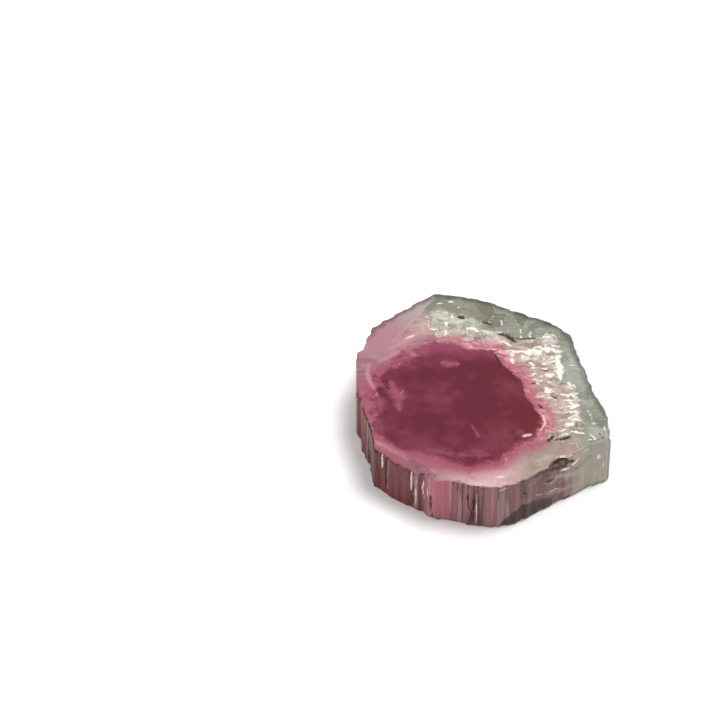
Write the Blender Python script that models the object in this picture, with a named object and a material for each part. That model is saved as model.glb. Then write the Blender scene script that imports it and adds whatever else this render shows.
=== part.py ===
"""A slice of watermelon tourmaline: one crystal, sawn flat across its length.

Metres, +Z up. The slice lies on its lower cut face, with its origin under the middle of its outline.
"""

import bisect
import math
import random

import bmesh
import bpy
from mathutils import Matrix, Vector

MM = 0.001

# The slice as a whole
THICKNESS = 2.9 * MM
EDGE_BEVEL = 0.05 * MM

# Growth striations: flat upright strips, each a little further in or out than its neighbours
STRIP_WIDTH = 0.25 * MM
STRIP_DEPTH = 0.085 * MM
STEP_RUN = 0.035 * MM
STRIP_DEPTHS = (0.0, 0.25, 0.5, 0.8, 1.0)
SHORT_STRIP_SHARE = 0.35
SHORT_STRIP_REST = 0.2
WALL_RINGS = 7

# Round corners are drawn with this many straight runs, and a point's inward direction is that of the
# outline this far to both sides of it
ROUND_RUNS = 5
NORMAL_REACH = 0.22 * MM

# What cuts a worn edge reaches this far outside the wall and above the upper face
CUT_OUTSIDE = 0.8 * MM
CUT_ABOVE = 0.6 * MM

# Chips lean this much up or down from level, and a crack's wedge is twice as wide this far above the face
CHIP_LEAN = 0.7
CHIP_SUBDIVISIONS = 2
CRACK_LIFT = 0.2 * MM

# Flat-sided pits in the broken belt
PIT_COUNT = 56
PIT_RADIUS = 0.42 * MM
PIT_DEPTH = 0.13 * MM
PIT_GAP = 0.40 * MM
PIT_FLATNESS = 0.7
PIT_TRIES = 4000

# Points closer than this are one point
WELD = 0.0015 * MM

SEED = 11

# Corners of the cross section in mm, clockwise seen from above: x, y, and how far the rounding reaches
CORNERS = {
    "left_face_back": (-5.99, 2.47, 0),
    "shoulder_outer": (-5.62, 2.65, 0),
    "shoulder_inner": (-5.51, 3.21, 0),
    "ledge": (-5.36, 3.55, 0),
    "back_left": (-5.17, 4.10, 0),
    "back": (-2.25, 6.32, 0.40),
    "back_swell": (-0.16, 5.97, 0.80),
    "back_step_outer": (1.02, 5.51, 0),
    "back_step_inner": (1.46, 5.25, 0),
    "back_right": (3.64, 4.24, 0.30),
    "right_corner": (4.36, 3.52, 0.25),
    "right_shoulder": (4.59, 2.50, 0.30),
    "right_waist": (5.20, 0.27, 0.50),
    "right_swell": (5.93, -1.70, 0.50),
    "right_point": (5.99, -3.23, 0),
    "front_right_dip": (4.75, -3.87, 0),
    "front_right": (1.49, -6.01, 0.50),
    "front": (0.34, -6.32, 0.50),
    "front_notch_outer": (-2.58, -5.60, 0),
    "front_notch_inner": (-2.79, -5.29, 0),
    "front_left_swell": (-3.91, -4.65, 0),
    "front_left": (-4.71, -4.07, 0),
    "left_foot": (-5.17, -3.63, 0),
    "left_step_low": (-5.29, -2.77, 0),
    "left_step_mid": (-5.40, -2.20, 0),
    "left_step_high": (-5.71, -1.50, 0),
    "left_notch_inner": (-5.75, -0.67, 0),
    "left_notch_outer": (-5.96, -0.33, 0),
}

# Worn stretches of the upper edge: start corner x, y, end corner x, y, how far in and how far down, in mm
WORN_EDGES = {
    "front_left": (-5.17, -3.63, -2.66, -5.35, 0.28, 0.30),
    "front_left_side": (-5.75, -1.45, -5.20, -3.65, 0.16, 0.20),
    "front": (-2.85, -5.47, -1.06, -6.03, 0.20, 0.14),
    "back_right": (3.50, 4.34, 4.37, 3.56, 0.10, 0.10),
}

# Shell-shaped chips: x, y, z of the middle, radius, and how flat the shell is, in mm
SHELL_CHIPS = {
    "front_right": (3.55, -4.78, 2.82, 0.56, 0.62),
    "left": (-5.58, -2.37, 2.86, 0.36, 0.70),
    "left_foot": (-5.08, -3.97, 2.76, 0.30, 0.80),
    "right_point": (6.06, -2.77, 2.92, 0.34, 0.70),
    "right_point_low": (5.71, -3.61, 2.84, 0.24, 0.80),
    "back": (-1.56, 6.37, 2.96, 0.34, 0.60),
    "back_step": (1.34, 5.47, 2.92, 0.36, 0.60),
    "right_waist": (5.46, 0.40, 2.90, 0.36, 0.70),
    "front_foot": (1.94, -5.93, 0.02, 0.40, 0.60),
    "left_face_foot": (-6.12, 1.05, 0.04, 0.34, 0.70),
    "back_foot": (2.34, 5.03, 0.02, 0.42, 0.60),
}

# Open cracks in the upper face: middle x, y, length, width, depth in mm, and turn in degrees
CRACKS = {
    "back": (1.35, 3.45, 1.05, 0.22, 0.24, -29),
    "back_thin": (2.42, 3.43, 1.05, 0.09, 0.16, 2),
    "right": (3.22, -2.92, 0.95, 0.28, 0.26, 20),
    "right_thin": (3.92, -2.85, 0.95, 0.10, 0.16, 14),
    "core_back": (0.75, 2.10, 0.90, 0.10, 0.14, -72),
    "core_right": (2.80, -2.00, 0.90, 0.10, 0.14, 86),
}

# The broken belt outside the pink core, as an arc about the core: middle, radii in mm, angles in degrees
BELT_MIDDLE = (-1.00, -0.80)
BELT_INNER = 3.80
BELT_OUTER = 5.50
BELT_START = -32
BELT_END = 108
BELT_STRETCH = 1.05


def clear_scene():
    for old in list(bpy.data.objects):
        bpy.data.objects.remove(old, do_unlink=True)


def crystal_material():
    """Clear pink to green tourmaline, shown in the rose of its core."""
    material = bpy.data.materials.new("tourmaline")
    material.use_nodes = True
    shader = material.node_tree.nodes["Principled BSDF"]
    shader.inputs["Base Color"].default_value = (0.34, 0.12, 0.16, 1.0)
    shader.inputs["Metallic"].default_value = 0.0
    shader.inputs["Roughness"].default_value = 0.12
    shader.inputs["IOR"].default_value = 1.63
    shader.inputs["Transmission Weight"].default_value = 0.5
    return material


def rounded_outline():
    """Give the cross section's points, with a short curve in place of each round corner."""
    corners = [(Vector((x, y)) * MM, reach * MM) for x, y, reach in CORNERS.values()]
    points = []
    for index, (corner, reach) in enumerate(corners):
        if reach == 0:
            points.append(corner)
            continue
        before = corners[index - 1][0]
        after = corners[(index + 1) % len(corners)][0]
        start = corner + (before - corner).normalized() * reach
        end = corner + (after - corner).normalized() * reach
        for step in range(ROUND_RUNS + 1):
            along = step / ROUND_RUNS
            points.append(start.lerp(corner, along).lerp(corner.lerp(end, along), along))
    return points


class Outline:
    """The closed outline of the cross section, read by the distance gone along it."""

    def __init__(self, points):
        self.points = points
        self.starts = [0.0]
        for start, end in zip(points, points[1:] + points[:1]):
            self.starts.append(self.starts[-1] + (end - start).length)
        self.length = self.starts[-1]

    def point_at(self, distance):
        distance %= self.length
        index = bisect.bisect_right(self.starts, distance) - 1
        start = self.points[index]
        end = self.points[(index + 1) % len(self.points)]
        run = self.starts[index + 1] - self.starts[index]
        return start.lerp(end, (distance - self.starts[index]) / run)

    def inward_at(self, distance):
        chord = self.point_at(distance + NORMAL_REACH) - self.point_at(distance - NORMAL_REACH)
        return Vector((chord.y, -chord.x)).normalized()


def cut_into_strips(outline, chance):
    """Split the outline into strips: first and last distance, depth, and how deep each level is cut."""
    strips = []
    for low, high in zip(outline.starts, outline.starts[1:]):
        count = max(1, round((high - low) / STRIP_WIDTH))
        breaks = [low]
        for number in range(1, count):
            breaks.append(low + (high - low) * (number + chance.uniform(-0.3, 0.3)) / count)
        breaks.append(high)
        for first, last in zip(breaks, breaks[1:]):
            margin = min(STEP_RUN, (last - first) * 0.2)
            depth = chance.choice(STRIP_DEPTHS) * STRIP_DEPTH
            levels = [1.0] * WALL_RINGS
            if chance.random() < SHORT_STRIP_SHARE:
                stop = chance.randint(2, WALL_RINGS - 3)
                kept = chance.choice((range(stop), range(stop, WALL_RINGS)))
                levels = [1.0 if level in kept else SHORT_STRIP_REST for level in range(WALL_RINGS)]
            strips.append((first + margin, last - margin, depth, levels))
    return strips


def wall_heights():
    """Give the heights of the wall's rings of points, with a narrow bevel at the foot and the top."""
    clear_height = THICKNESS - 2 * EDGE_BEVEL
    inner = [EDGE_BEVEL + clear_height * level / (WALL_RINGS - 3) for level in range(WALL_RINGS - 2)]
    return [0.0] + inner + [THICKNESS]


def crystal_mesh(chance):
    """Build the sawn prism: a ring of strips for the wall, closed by two flat cut faces."""
    outline = Outline(rounded_outline())
    strips = cut_into_strips(outline, chance)
    heights = wall_heights()
    mesh = bmesh.new()
    rings = []
    for level, height in enumerate(heights):
        at_edge = level in (0, len(heights) - 1)
        ring = []
        for first, last, depth, levels in strips:
            inset = depth * levels[level] + (EDGE_BEVEL if at_edge else 0.0)
            for distance in (first, last):
                point = outline.point_at(distance) + outline.inward_at(distance) * inset
                ring.append(mesh.verts.new((point.x, point.y, height)))
        rings.append(ring)
    for lower, upper in zip(rings, rings[1:]):
        for index in range(len(lower)):
            after = (index + 1) % len(lower)
            mesh.faces.new((lower[index], upper[index], upper[after], lower[after]))
    mesh.faces.new(rings[0])
    mesh.faces.new(list(reversed(rings[-1])))
    bmesh.ops.recalc_face_normals(mesh, faces=mesh.faces)
    return mesh


def add_object(name, mesh):
    data = bpy.data.meshes.new(name)
    mesh.to_mesh(data)
    mesh.free()
    thing = bpy.data.objects.new(name, data)
    bpy.context.scene.collection.objects.link(thing)
    return thing


def add_cutter(name, mesh):
    cutter = add_object(name, mesh)
    cutter.hide_render = True
    cutter.display_type = "WIRE"
    return cutter


def worn_edge_cutters():
    """Make one wedge along each worn stretch of the upper edge."""
    mesh = bmesh.new()
    for x_start, y_start, x_end, y_end, inset, drop in WORN_EDGES.values():
        start = Vector((x_start, y_start)) * MM
        end = Vector((x_end, y_end)) * MM
        inward = Vector(((end - start).y, -(end - start).x)).normalized()
        if inward.dot(-start) < 0:
            inward = -inward
        slope = drop / inset
        profile = (
            (inset * MM + CUT_ABOVE / slope, THICKNESS + CUT_ABOVE),
            (-CUT_OUTSIDE, THICKNESS + CUT_ABOVE),
            (-CUT_OUTSIDE, THICKNESS - drop * MM - CUT_OUTSIDE * slope),
        )
        ends = []
        for place in (start, end):
            corners = [place + inward * across for across, height in profile]
            ends.append([
                mesh.verts.new((corner.x, corner.y, height))
                for corner, (across, height) in zip(corners, profile)
            ])
        first, last = ends
        mesh.faces.new(first)
        mesh.faces.new(list(reversed(last)))
        for index in range(3):
            after = (index + 1) % 3
            mesh.faces.new((first[index], last[index], last[after], first[after]))
    bmesh.ops.recalc_face_normals(mesh, faces=mesh.faces)
    return add_cutter("worn_edge_cutters", mesh)


def shell_chip_cutters(chance):
    """Make one flattened, faceted ball for each chip broken from an edge."""
    mesh = bmesh.new()
    for x, y, z, radius, flatness in SHELL_CHIPS.values():
        outward = Vector((x, y, 0)).normalized()
        rise = CHIP_LEAN if z * MM > THICKNESS / 2 else -CHIP_LEAN
        lean = Vector((outward.x, outward.y, rise)).normalized()
        turn = lean.to_track_quat("Z", "X").to_matrix().to_4x4()
        spin = Matrix.Rotation(chance.uniform(0, math.tau), 4, "Z")
        size = Matrix.Diagonal((1.0, 1.0, flatness, 1.0))
        place = Matrix.Translation(Vector((x, y, z)) * MM) @ turn @ spin @ size
        bmesh.ops.create_icosphere(mesh, subdivisions=CHIP_SUBDIVISIONS, radius=radius * MM, matrix=place)
    return add_cutter("shell_chip_cutters", mesh)


def crack_cutters():
    """Make one long, narrow, pointed wedge for each open crack."""
    mesh = bmesh.new()
    for x, y, length, width, depth, turn in CRACKS.values():
        middle = Vector((x, y)) * MM
        along = Vector((math.cos(math.radians(turn)), math.sin(math.radians(turn))))
        across = Vector((-along.y, along.x))
        rim = [
            middle + along * length * MM / 2,
            middle + across * width * MM / 2 + along * width * MM / 3,
            middle - along * length * MM / 2,
            middle - across * width * MM / 2 - along * width * MM / 4,
        ]
        top = [mesh.verts.new((*(middle + (point - middle) * 2), THICKNESS + CRACK_LIFT)) for point in rim]
        foot = mesh.verts.new((middle.x, middle.y, THICKNESS - depth * MM))
        mesh.faces.new(top)
        for index in range(4):
            mesh.faces.new((top[index], top[(index + 1) % 4], foot))
    bmesh.ops.recalc_face_normals(mesh, faces=mesh.faces)
    return add_cutter("crack_cutters", mesh)


def belt_places(chance):
    """Scatter the pits over the broken belt, no two closer than PIT_GAP."""
    places = []
    tries = 0
    while len(places) < PIT_COUNT and tries < PIT_TRIES:
        tries += 1
        angle = math.radians(chance.uniform(BELT_START, BELT_END))
        radius = chance.uniform(BELT_INNER, BELT_OUTER) * MM
        place = Vector((
            BELT_MIDDLE[0] * MM + radius * math.cos(angle),
            BELT_MIDDLE[1] * MM + radius * math.sin(angle) * BELT_STRETCH,
        ))
        if all((place - other).length > PIT_GAP for other in places):
            places.append(place)
    return places


def pit_cutters(chance):
    """Make a turned, low-sided ball for each flat-sided pit in the broken belt."""
    mesh = bmesh.new()
    for place in belt_places(chance):
        radius = PIT_RADIUS * chance.uniform(0.6, 1.25)
        depth = PIT_DEPTH * chance.uniform(0.45, 1.2)
        long_way = chance.uniform(1.0, 1.7)
        turn = Matrix.Rotation(chance.uniform(0, math.tau), 4, "Z")
        tip = Matrix.Rotation(chance.uniform(-0.5, 0.5), 4, "X")
        size = Matrix.Diagonal((long_way, 1.0, PIT_FLATNESS, 1.0))
        middle = Vector((place.x, place.y, THICKNESS + radius * PIT_FLATNESS - depth))
        matrix = Matrix.Translation(middle) @ turn @ size @ tip
        bmesh.ops.create_icosphere(mesh, subdivisions=1, radius=radius, matrix=matrix)
    return add_cutter("pit_cutters", mesh)


def cut_with(crystal, cutter):
    cut = crystal.modifiers.new(cutter.name, "BOOLEAN")
    cut.operation = "DIFFERENCE"
    cut.solver = "EXACT"
    cut.use_self = True
    cut.object = cutter


def build():
    clear_scene()
    chance = random.Random(SEED)
    crystal = add_object("tourmaline_slice", crystal_mesh(chance))
    crystal.data.materials.append(crystal_material())
    cut_with(crystal, worn_edge_cutters())
    cut_with(crystal, shell_chip_cutters(chance))
    cut_with(crystal, crack_cutters())
    cut_with(crystal, pit_cutters(chance))
    weld = crystal.modifiers.new("weld", "WELD")
    weld.merge_threshold = WELD


build()
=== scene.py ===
import math

import bpy
import numpy as np
from bpy.props import FloatProperty, FloatVectorProperty, PointerProperty
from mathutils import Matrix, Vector, kdtree, noise


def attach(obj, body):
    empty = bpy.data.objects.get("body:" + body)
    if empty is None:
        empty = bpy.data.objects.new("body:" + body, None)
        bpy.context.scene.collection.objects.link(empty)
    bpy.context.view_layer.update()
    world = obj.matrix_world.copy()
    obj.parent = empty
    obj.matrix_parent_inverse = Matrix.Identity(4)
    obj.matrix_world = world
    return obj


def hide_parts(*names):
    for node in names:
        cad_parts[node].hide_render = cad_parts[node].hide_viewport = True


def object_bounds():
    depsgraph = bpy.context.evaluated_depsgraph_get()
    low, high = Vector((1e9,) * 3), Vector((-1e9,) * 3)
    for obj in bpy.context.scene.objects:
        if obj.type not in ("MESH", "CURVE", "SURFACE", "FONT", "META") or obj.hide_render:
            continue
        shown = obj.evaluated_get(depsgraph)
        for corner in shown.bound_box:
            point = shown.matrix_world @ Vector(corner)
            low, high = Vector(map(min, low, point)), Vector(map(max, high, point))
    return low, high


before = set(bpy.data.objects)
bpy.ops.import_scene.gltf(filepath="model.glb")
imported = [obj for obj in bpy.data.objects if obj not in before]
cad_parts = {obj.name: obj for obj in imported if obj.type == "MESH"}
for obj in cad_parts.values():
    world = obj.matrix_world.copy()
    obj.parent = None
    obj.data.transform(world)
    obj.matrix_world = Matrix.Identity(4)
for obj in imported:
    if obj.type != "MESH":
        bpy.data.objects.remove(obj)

CAD_LOW, CAD_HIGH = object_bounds()

bl_info = {
    "name": "Tourmaline slice",
    "version": (1, 0, 0),
    "blender": (4, 5, 0),
    "location": "3D View > Sidebar > Tourmaline",
    "description": "Dresses a slice of watermelon tourmaline and lays it on a pale studio floor",
    "category": "Add Mesh",
}

MM = 0.001
NODE = "tourmaline_slice"
PIECE = "tourmaline_crystal"
TOP = CAD_HIGH.z / MM
MIDDLE = Vector((0, 0, CAD_HIGH.z / 2))

# Points of the solid that are closer together than this are joined
MERGE_GAP = 0.001 * MM

# How far in mm every point is kept inside the planes of the two cut faces
FACE_GAP = 0.0005

# Fixes the random shake of the broken belt's facets, which would otherwise change from run to run
FACET_SEED = 1

# The upright part of a surface's normal: below the first it is wall, above the second it is a cut face
UPRIGHT = 0.12
LEVEL = 0.985

# Faces that meet at more than this angle keep a sharp edge in the shading
SHARPEST_SMOOTH = math.radians(24)

# The crystal's refraction, and the roughness of its polish
CRYSTAL_IOR = 1.63
POLISH = 0.10

# The veiled share over the core, which the zones around it change, and the gloss of what is veiled
VEILED_SHARE = 0.66
VEILED_GLOSS = 0.18

# What the clear body absorbs: its tint, and how dense that is for each metre
BODY_TINT = (0.62, 0.60, 0.52, 1)
BODY_DENSITY = 120.0

# How high the finest grooves and scales stand in the shading
BUMP_HEIGHT = 0.05 * MM

# The studio, its lengths in metres: a wide matt floor a hair below the slice, and two soft disks of light
FLOOR_WIDTH = 6
FLOOR_GAP = 0.02 * MM
FLOOR_ROUGHNESS = 0.7
FLOOR_GLOSS = 0.2
OVERHEAD_PLACE = (0.108, 0.052, 0.34)
OVERHEAD_WIDTH = 0.19
SIDE_PLACE = (-0.20, -0.22, 0.16)
SIDE_WIDTH = 0.10

# How the photographed frame shows the slice: its middle in pixels from the top left, and pixels for each mm
FRAME_PIXELS = 720
MIDDLE_PIXEL = (481.6, 409.5)
PIXELS_PER_MM = 21.1
SENSOR = 36.0

# How near and how far the camera sees, in metres
NEAREST = 0.01
FARTHEST = 10

# The edge of the raspberry core on the upper face, in mm, clockwise from its left end
CORE_EDGE = (
    (-5.30, -0.60), (-4.85, 0.92), (-3.92, 2.03), (-2.95, 2.72), (-2.20, 3.08), (-1.40, 2.96),
    (-0.54, 2.58), (0.62, 2.52), (1.03, 1.57), (1.87, 0.59), (2.12, -0.60), (2.77, -1.67),
    (2.79, -2.32), (2.52, -2.62), (2.45, -3.15), (1.48, -3.59), (1.05, -4.10), (0.60, -4.62),
    (-0.60, -4.95), (-1.70, -4.60), (-3.00, -4.02), (-3.96, -3.93), (-4.66, -3.30), (-5.12, -2.32),
)

# The broken, silvery belt: the line where it meets the clear green rim, closed across the core
BELT_EDGE = (
    (-2.42, 4.10), (-2.38, 5.10), (-1.60, 5.20), (-0.50, 4.75), (0.94, 3.78), (1.90, 3.46),
    (2.87, 3.52), (3.31, 3.74), (3.83, 3.16), (3.95, 2.03), (3.90, 0.62), (4.55, 0.10),
    (4.66, -1.35), (4.75, -2.60), (3.70, -3.15), (2.60, -3.30), (0.00, -1.00), (-2.00, 3.00),
)

# The smooth plane at the back left, closed well outside the slice
PLANE_EDGE = (
    (-6.50, 2.10), (-4.70, 2.35), (-4.31, 2.85), (-3.42, 4.16), (-2.53, 5.47), (-2.22, 5.85),
    (-2.30, 7.00), (-6.50, 7.00),
)

# Painted highlights on flakes and edges of the upper face: places along each in mm, half its width, and its
# strength
FACE_GLINTS = {
    "back_left": (((-2.11, 5.55), (-1.78, 5.61)), 0.06, 1.0),
    "back_right": (((-1.55, 5.68), (-1.26, 5.68)), 0.06, 1.0),
    "frame_side": (((-2.49, 4.64), (-2.49, 3.93)), 0.05, 0.80),
    "frame_foot": (((-2.49, 3.90), (-2.02, 3.86)), 0.06, 1.0),
    "frame_flake": (((-1.36, 4.84), (-1.36, 4.58)), 0.09, 0.90),
    "upper_flake": (((-1.64, 4.38), (-1.64, 4.12)), 0.09, 1.0),
    "lower_flake": (((-1.64, 3.86), (-1.73, 3.41)), 0.07, 0.85),
    "belt_streak": (((-0.69, 3.93), (-0.31, 3.99), (0.02, 3.61)), 0.07, 1.0),
    "belt_streak_right": (((1.06, 3.09), (1.49, 2.76)), 0.08, 1.0),
    "core_back": (((-1.07, 3.09), (-0.08, 2.50)), 0.06, 0.80),
    "core_back_step": (((0.16, 2.50), (0.59, 2.57), (1.35, 2.11)), 0.06, 0.85),
    "core_corner": (((1.39, 1.99), (1.54, 1.60)), 0.09, 1.0),
    "arch": (((2.91, 3.28), (3.15, 3.61), (3.53, 3.48), (3.72, 3.02)), 0.05, 0.9),
    "middle_left": (((1.82, 2.50), (2.10, 2.44)), 0.08, 0.85),
    "middle": (((2.48, 2.57), (2.86, 2.24)), 0.11, 1.0),
    "middle_low": (((2.25, 1.73), (2.53, 1.53)), 0.10, 1.0),
    "tall_flake": (((3.56, 2.10), (3.70, 1.40), (3.70, 0.60)), 0.15, 1.0),
    "right_flake": (((3.02, 0.98), (3.34, 0.90)), 0.14, 1.0),
    "right_flake_inner": (((2.84, 1.34), (3.12, 1.44)), 0.08, 0.9),
    "right_flake_low": (((2.94, 0.10), (3.16, -0.10)), 0.09, 1.0),
    "right_flake_middle": (((3.08, 0.50), (3.30, 0.42)), 0.08, 0.9),
    "rim_flake": (((4.05, 0.49), (4.19, 0.17)), 0.08, 0.9),
    "rim_ray": (((3.95, 1.45), (4.55, 1.55)), 0.04, 0.7),
    "rim_ray_low": (((4.55, 0.95), (4.95, 0.98)), 0.04, 0.7),
    "stripe_1": (((3.62, -0.35), (4.52, -0.28)), 0.065, 1.0),
    "stripe_2": (((3.81, -0.74), (4.57, -0.67)), 0.060, 0.95),
    "stripe_3": (((3.66, -1.13), (4.52, -1.06)), 0.065, 1.0),
    "stripe_4": (((3.86, -1.51), (4.43, -1.38)), 0.060, 0.85),
    "core_loop": (((2.53, -1.45), (2.82, -1.71), (2.91, -2.16), (2.67, -2.62)), 0.060, 0.85),
    "core_flake": (((1.80, -3.02), (2.25, -2.88)), 0.13, 0.85),
    "core_flake_front": (((0.92, -4.10), (1.06, -4.60)), 0.06, 0.75),
    "core_flake_side": (((1.10, -4.05), (1.50, -4.00)), 0.05, 0.70),
    "low_streak": (((4.09, -2.55), (4.33, -2.75), (4.76, -2.87)), 0.08, 1.0),
    "beige_curve": (((3.81, -3.37), (4.32, -3.46), (4.44, -3.76)), 0.05, 0.75),
    "beige_ring": (((2.10, -4.05), (2.30, -4.15), (2.45, -4.05)), 0.04, 0.55),
    "chip_top": (((3.48, -4.30), (3.86, -4.34)), 0.10, 1.0),
    "rim_streak": (((4.90, -1.25), (5.14, -2.03)), 0.06, 0.75),
    "corner": (((5.61, -3.72), (5.71, -3.39)), 0.10, 1.0),
    "corner_rim": (((5.64, -2.30), (5.74, -3.05)), 0.05, 0.8),
    "corner_inner": (((4.90, -2.81), (5.23, -3.13)), 0.07, 0.85),
    "corner_high": (((4.57, -1.90), (4.81, -2.29)), 0.05, 0.6),
    "corner_middle": (((5.18, -2.55), (5.45, -2.45)), 0.05, 0.6),
    "left_curve": (((-5.43, 1.20), (-5.43, 0.80), (-5.24, 0.30), (-5.00, -0.09)), 0.05, 0.65),
    "left_patch": (((-3.60, 3.25), (-3.15, 3.50)), 0.12, 0.85),
    "left_patch_low": (((-2.75, 2.95), (-2.45, 3.05)), 0.05, 0.70),
    "left_tick": (((-4.75, 0.05), (-4.45, -0.05)), 0.04, 0.60),
    "left_streak": (((-4.44, 2.63), (-3.82, 2.76)), 0.04, 0.55),
    "left_flake": (((-3.87, -0.41), (-3.73, -0.09)), 0.06, 0.60),
    "front": (((0.49, -5.53), (0.92, -5.53)), 0.07, 0.85),
}

# Paler clouds in the core and veils in the zones around it, in the same way
FACE_VEILS = {
    "core_back": (((-1.90, 1.72), (-1.50, 1.56), (-1.05, 1.62)), 0.20, 0.95),
    "core_back_left": (((-3.87, 1.60), (-3.20, 2.15), (-2.50, 2.60)), 0.28, 0.60),
    "core_left": (((-4.30, 0.40), (-4.05, -0.40), (-3.90, -1.30)), 0.30, 0.75),
    "core_left_edge": (((-4.95, -0.30), (-4.75, -1.60)), 0.22, 0.60),
    "core_scratch": (((-0.55, -2.29), (-0.17, -3.13)), 0.08, 0.60),
    "core_front_right": (((1.11, -3.33), (1.82, -2.68)), 0.26, 0.45),
    "core_front": (((-2.60, -3.90), (-1.20, -4.20), (0.20, -4.15)), 0.30, 0.45),
    "crescent": (((-5.34, 1.66), (-5.43, 1.01), (-5.24, 0.30), (-5.00, -0.09)), 0.12, 0.55),
    "left_streak": (((-4.90, 1.70), (-4.20, 2.25), (-3.60, 2.70)), 0.14, 0.45),
    "plane_foot": (((-4.30, 2.60), (-3.50, 3.15), (-2.95, 3.60)), 0.20, 0.55),
    "plane_side": (((-2.85, 4.60), (-2.75, 3.90), (-2.70, 3.40)), 0.14, 0.45),
    "front_left": (((-5.05, -3.33), (-4.40, -3.95), (-3.60, -4.40)), 0.20, 0.55),
    "front": (((-0.60, -5.40), (0.40, -5.50), (1.20, -5.20)), 0.30, 0.50),
    "arch": (((2.95, 3.00), (3.25, 3.25), (3.60, 3.00)), 0.22, 0.60),
    "back_frame": (((-2.30, 4.90), (-1.50, 4.55), (-0.80, 4.40)), 0.25, 0.45),
    "corner": (((4.95, -2.45), (5.45, -3.05)), 0.30, 0.40),
    "rim_facet": (((4.20, 1.90), (4.80, 1.10), (4.95, 0.30)), 0.22, 0.35),
}

# Cracks in the upper face, cut in and darkened with painted shade, in the same way
FACE_CRACKS = {
    "back_1": (((-1.07, 4.71), (-0.74, 4.77)), 0.06, 1.0),
    "back_2": (((0.11, 4.38), (0.59, 4.19)), 0.06, 1.0),
    "back_wide": (((0.82, 3.61), (1.25, 3.54), (1.68, 3.15)), 0.12, 1.0),
    "back_thin": (((1.68, 3.35), (2.63, 3.35)), 0.05, 1.0),
    "core_back": (((0.64, 2.31), (0.92, 1.40)), 0.07, 0.80),
    "right_wide": (((3.00, -3.20), (3.29, -2.81)), 0.14, 1.0),
    "right_thin": (((3.29, -3.20), (4.14, -2.94)), 0.07, 1.0),
    "belt_1": (((3.24, -0.41), (3.67, -0.54)), 0.05, 1.0),
    "belt_2": (((2.91, 1.27), (3.15, 1.27)), 0.05, 1.0),
    "belt_3": (((4.00, 2.24), (4.14, 1.79)), 0.06, 0.6),
    "core_right": (((2.63, -0.93), (2.82, -1.19)), 0.07, 1.0),
    "core_right_thin": (((2.25, 0.37), (2.58, 0.43)), 0.04, 1.0),
    "corner": (((4.85, -3.33), (5.55, -3.10)), 0.04, 0.7),
    "corner_dark": (((5.35, -2.75), (5.62, -3.20)), 0.10, 0.55),
    "corner_dark_high": (((5.05, -2.30), (5.40, -2.20)), 0.06, 0.50),
    "rim_dark": (((4.80, 0.60), (4.95, -0.10), (5.00, -0.80)), 0.09, 0.52),
    "rim_dark_high": (((4.25, 2.60), (4.55, 1.80), (4.75, 1.20)), 0.05, 0.50),
    "rim_back": (((0.60, 4.70), (1.40, 4.55), (2.30, 4.15)), 0.06, 0.50),
    "rim_back_left": (((-1.10, 5.30), (-0.40, 5.15)), 0.06, 0.48),
}

# Painted highlights on the front wall's ledges, in the same way, with their places as x and height
WALL_GLINTS = {
    "step_1": (((-3.39, 2.85), (-3.39, 1.25)), 0.045, 1.0),
    "step_2": (((-3.18, 2.20), (-3.18, 0.40)), 0.040, 0.9),
    "step_3": (((-2.80, 2.30), (-2.86, 1.70), (-2.78, 1.00)), 0.045, 0.9),
    "step_4": (((-2.66, 1.95), (-2.62, 1.30)), 0.040, 0.8),
    "left": (((-4.74, 2.80), (-4.76, 1.60)), 0.045, 0.9),
    "left_thin": (((-4.48, 2.81), (-4.48, 0.44)), 0.030, 0.60),
    "middle": (((-0.36, 2.30), (-0.36, 0.20)), 0.035, 0.9),
    "middle_short": (((-1.17, 2.67), (-1.21, 1.96)), 0.040, 0.70),
    "upper_edge": (((0.64, 2.64), (1.06, 2.66)), 0.050, 0.80),
    "right_1": (((3.00, 1.22), (3.53, 0.98)), 0.050, 0.85),
    "right_2": (((2.39, 1.38), (2.77, 1.14)), 0.045, 0.80),
    "chip": (((3.53, 2.10), (3.80, 2.20), (4.05, 2.14)), 0.070, 1.0),
    "chip_right": (((4.10, 2.26), (4.45, 2.46)), 0.075, 1.0),
    "far_right": (((5.42, 2.16), (5.42, 1.84)), 0.090, 1.0),
    "far_right_low": (((5.62, 1.70), (5.66, 1.10)), 0.050, 0.7),
}

# Painted shade in the grooves and painted inner shadows of the front wall, in the same way
WALL_SHADOWS = {
    "step": (((-3.30, 2.79), (-3.30, 0.29)), 0.05, 0.8),
    "step_foot": (((-2.54, 1.60), (-2.42, 0.03)), 0.15, 0.62),
    "left": (((-4.58, 2.75), (-4.58, 0.52)), 0.06, 0.8),
    "middle_1": (((-1.26, 2.85), (-1.26, 1.95)), 0.05, 0.7),
    "middle_2": (((-0.79, 2.85), (-0.74, 1.19)), 0.08, 0.8),
    "middle_3": (((-0.50, 2.86), (-0.50, 0.15)), 0.06, 0.8),
    "chip": (((3.25, 2.70), (3.72, 2.78), (4.19, 2.48)), 0.16, 1.0),
    "chip_foot": (((3.35, 2.40), (3.90, 2.42)), 0.10, 0.9),
    "spot": (((2.90, 2.02), (3.32, 1.84)), 0.10, 0.9),
    "spot_right": (((4.15, 2.00), (4.45, 1.80)), 0.06, 0.8),
    "upper_left_spot": (((1.70, 2.05), (2.00, 1.85)), 0.08, 0.60),
    "foot_line": (((3.50, 0.10), (4.40, 0.14)), 0.08, 0.70),
}

# The dark inner shadow at the foot of the right front wall, as x and height
WALL_WEDGE = (
    (0.55, -0.20), (0.80, 0.40), (1.35, 0.95), (1.80, 1.20), (2.34, 1.05), (3.38, 0.66), (3.32, -0.20),
)


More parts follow.
